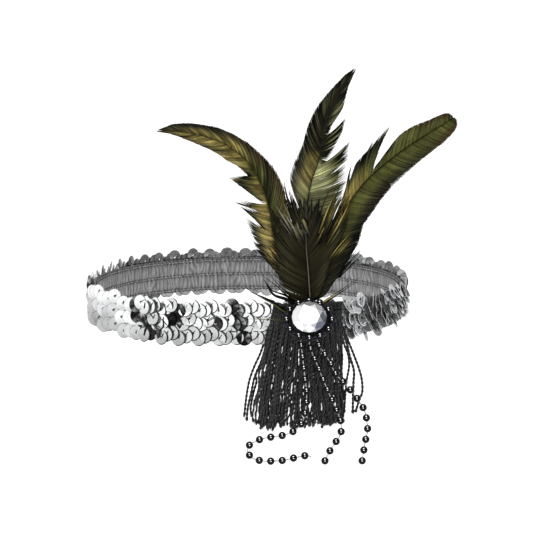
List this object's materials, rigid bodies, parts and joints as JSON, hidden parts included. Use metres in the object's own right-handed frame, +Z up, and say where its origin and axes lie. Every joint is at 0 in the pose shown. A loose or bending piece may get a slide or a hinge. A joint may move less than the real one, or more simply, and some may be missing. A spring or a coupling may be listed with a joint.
{
  "type": "flapper feather headband",
  "caption": "Stretch sequin headband with a feather plume, a round cut stone ringed by beads, a cord fringe and hanging bead strings.",
  "frame": {"origin": "middle of the head opening at half the height of the band", "axes": "+Z up along the head, -Y out of the flat front that carries the medallion, +X to the right as seen from the front"},
  "size_m": [0.194, 0.1837, 0.2037],
  "materials": {
    "elastic": "gathered elastic",
    "sequins": "silver foil sequins",
    "fringe": "twisted rayon cord",
    "feather_gold": "glossy feather",
    "feather_olive": "glossy feather",
    "feather_dark": "dark feather",
    "backing": "black felt",
    "stone": "foil-backed cut glass",
    "beads": "glossy black",
    "thread": "thin light thread"
  },
  "bodies": {
    "root": {"band_elastic": "elastic", "sequin_layer": "sequins", "fringe": "fringe", "feather_center": "feather_gold", "feather_left": "feather_gold", "feather_right": "feather_olive", "feather_front": "feather_dark", "medallion_backing": "backing", "rhinestone": "stone", "bead_ring": "beads", "bead_strand_left": "beads", "bead_strand_middle": "beads", "bead_strand_right": "beads"}
  },
  "joints": []
}
